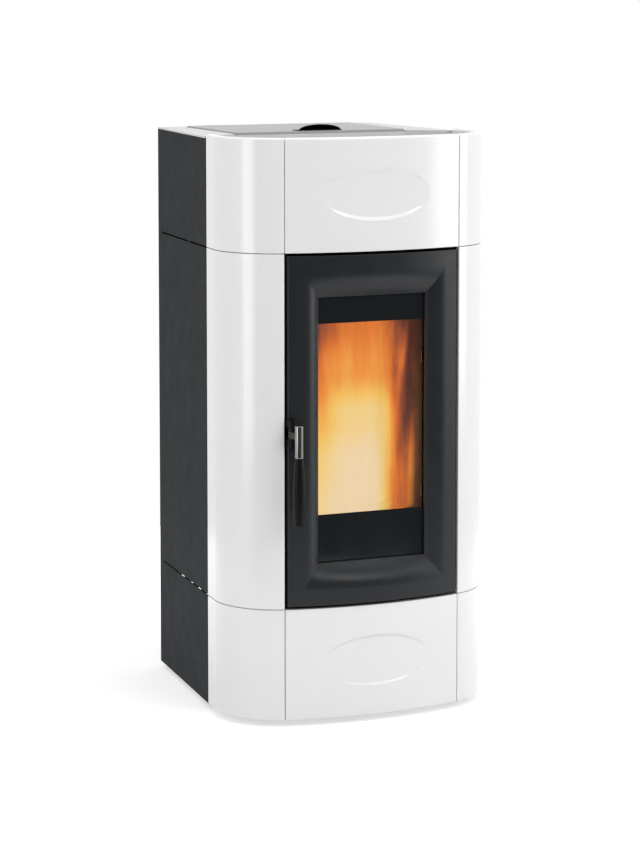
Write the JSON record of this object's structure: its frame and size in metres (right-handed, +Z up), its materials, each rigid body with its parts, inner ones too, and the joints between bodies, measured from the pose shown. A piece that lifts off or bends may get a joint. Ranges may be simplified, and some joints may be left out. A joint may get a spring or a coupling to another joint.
{
  "type": "pellet stove",
  "caption": "Free-standing pellet stove with glossy curved ceramic cladding, dark steel sides, framed glass fire door with a side lever handle, sunken air outlet and a hinged hopper lid.",
  "frame": {"origin": "on the floor under the middle of the overall plan box", "axes": "+X to the stove's left-to-right as seen from the front, +Y to the rear, +Z up; the door faces -Y"},
  "size_m": [0.548, 0.6594, 1.132],
  "materials": {
    "glazed": "glossy",
    "side_paint": "satin",
    "top_paint": "satin",
    "galvanised": "matte",
    "black_steel": "matte",
    "door_iron": "satin",
    "fire_iron": "matte",
    "lining": "matte",
    "glass": "glossy",
    "rope": "matte",
    "chrome": "polished",
    "steel": "satin",
    "black_plastic": "matte",
    "gloss_black": "glossy",
    "key_plastic": "satin",
    "seal_rubber": "matte",
    "aluminium": "satin"
  },
  "bodies": {
    "casing": {"air_intake_pipe": "galvanised", "auger_tube": "steel", "baffle": "lining", "base_tray": "galvanised", "control_box": "black_plastic", "control_panel": "gloss_black", "drop_chute": "steel", "exhaust_housing": "galvanised", "exhaust_motor": "aluminium", "firebox": "black_steel", "firebox_liner": "lining", "front_frame": "black_steel", "gear_motor": "aluminium", "hinge_brackets": "steel", "hopper": "galvanised", "igniter": "steel", "lid_seal": "seal_rubber", "lower_front_panel": "glazed", "pot_seat": "fire_iron", "power_inlet": "black_plastic", "rear_panel": "side_paint", "room_fan_housing": "galvanised", "side_panel_left": "side_paint", "side_panel_right": "side_paint", "tile_carriers": "galvanised", "tile_left_lower": "glazed", "tile_left_middle": "glazed", "tile_left_upper": "glazed", "tile_right_lower": "glazed", "tile_right_middle": "glazed", "tile_right_upper": "glazed", "top_deck": "top_paint", "upper_front_panel": "glazed", "well_tray": "top_paint"},
    "door": {"door_frame": "door_iron", "door_inner_frame": "black_steel", "door_glass": "glass", "glass_gasket": "rope", "glass_clips": "steel", "door_seal": "rope", "handle_bracket": "black_steel"},
    "handle": {"handle_lever": "steel", "handle_ferrule": "chrome", "handle_grip": "black_plastic"},
    "lid": {"hopper_lid": "top_paint", "lid_pull": "black_plastic"},
    "fire_pot": {"burner_pot": "fire_iron"},
    "ash_drawer": {"ash_pan": "fire_iron"},
    "auger": {"auger_screw": "steel"},
    "exhaust_wheel": {"exhaust_impeller": "steel"},
    "room_fan_wheel": {"room_fan_drum": "galvanised"},
    "mains_rocker": {"rocker_switch": "black_plastic"},
    "key_1": {"button_1": "key_plastic"},
    "key_2": {"button_2": "key_plastic"},
    "key_3": {"button_3": "key_plastic"},
    "key_4": {"button_4": "key_plastic"},
    "leg_front_left": {"foot_front_left": "seal_rubber"},
    "leg_front_right": {"foot_front_right": "seal_rubber"},
    "leg_rear_left": {"foot_rear_left": "seal_rubber"},
    "leg_rear_right": {"foot_rear_right": "seal_rubber"}
  },
  "joints": [
    {"name": "door_hinge", "type": "hinge", "parent": "casing", "child": "door", "pos_m": [0.165, -0.2573, 0.572], "axis": [0, 0, 1], "range_deg": [0, 95]},
    {"name": "handle_pivot", "type": "hinge", "parent": "door", "child": "handle", "pos_m": [-0.171, -0.2763, 0.5655], "axis": [0, 0, -1], "range_deg": [0, 28]},
    {"name": "lid_hinge", "type": "hinge", "parent": "casing", "child": "lid", "pos_m": [0, 0.2617, 1.1165], "axis": [-1, 0, 0], "range_deg": [0, 95]},
    {"name": "fire_pot_lift", "type": "slide", "parent": "casing", "child": "fire_pot", "axis": [0, 0, 1], "range_m": [0, 0.08]},
    {"name": "ash_pan_lift", "type": "slide", "parent": "casing", "child": "ash_drawer", "axis": [0, 0, 1], "range_m": [0, 0.06]},
    {"name": "auger_turn", "type": "hinge", "parent": "casing", "child": "auger", "pos_m": [0, 0.2017, 0.464], "axis": [0, -0.5, 0.866], "continuous": true},
    {"name": "exhaust_fan_turn", "type": "hinge", "parent": "casing", "child": "exhaust_wheel", "pos_m": [0, 0.1567, 0.178], "axis": [1, 0, 0], "continuous": true},
    {"name": "room_fan_turn", "type": "hinge", "parent": "casing", "child": "room_fan_wheel", "pos_m": [0, 0.1517, 0.093], "axis": [1, 0, 0], "continuous": true},
    {"name": "mains_rocker_tilt", "type": "hinge", "parent": "casing", "child": "mains_rocker", "pos_m": [0.17, 0.2739, 0.356], "axis": [1, 0, 0], "range_deg": [0, 24]},
    {"name": "key_1_press", "type": "slide", "parent": "casing", "child": "key_1", "axis": [0, 0, -1], "range_m": [0, 0.0012], "stiffness_N_per_m": 400, "springref_m": -0.0006},
    {"name": "key_2_press", "type": "slide", "parent": "casing", "child": "key_2", "axis": [0, 0, -1], "range_m": [0, 0.0012], "stiffness_N_per_m": 400, "springref_m": -0.0006},
    {"name": "key_3_press", "type": "slide", "parent": "casing", "child": "key_3", "axis": [0, 0, -1], "range_m": [0, 0.0012], "stiffness_N_per_m": 400, "springref_m": -0.0006},
    {"name": "key_4_press", "type": "slide", "parent": "casing", "child": "key_4", "axis": [0, 0, -1], "range_m": [0, 0.0012], "stiffness_N_per_m": 400, "springref_m": -0.0006},
    {"name": "leg_front_left_screw", "type": "slide", "parent": "casing", "child": "leg_front_left", "axis": [0, 0, -1], "range_m": [0, 0.015]},
    {"name": "leg_front_right_screw", "type": "slide", "parent": "casing", "child": "leg_front_right", "axis": [0, 0, -1], "range_m": [0, 0.015]},
    {"name": "leg_rear_left_screw", "type": "slide", "parent": "casing", "child": "leg_rear_left", "axis": [0, 0, -1], "range_m": [0, 0.015]},
    {"name": "leg_rear_right_screw", "type": "slide", "parent": "casing", "child": "leg_rear_right", "axis": [0, 0, -1], "range_m": [0, 0.015]}
  ]
}
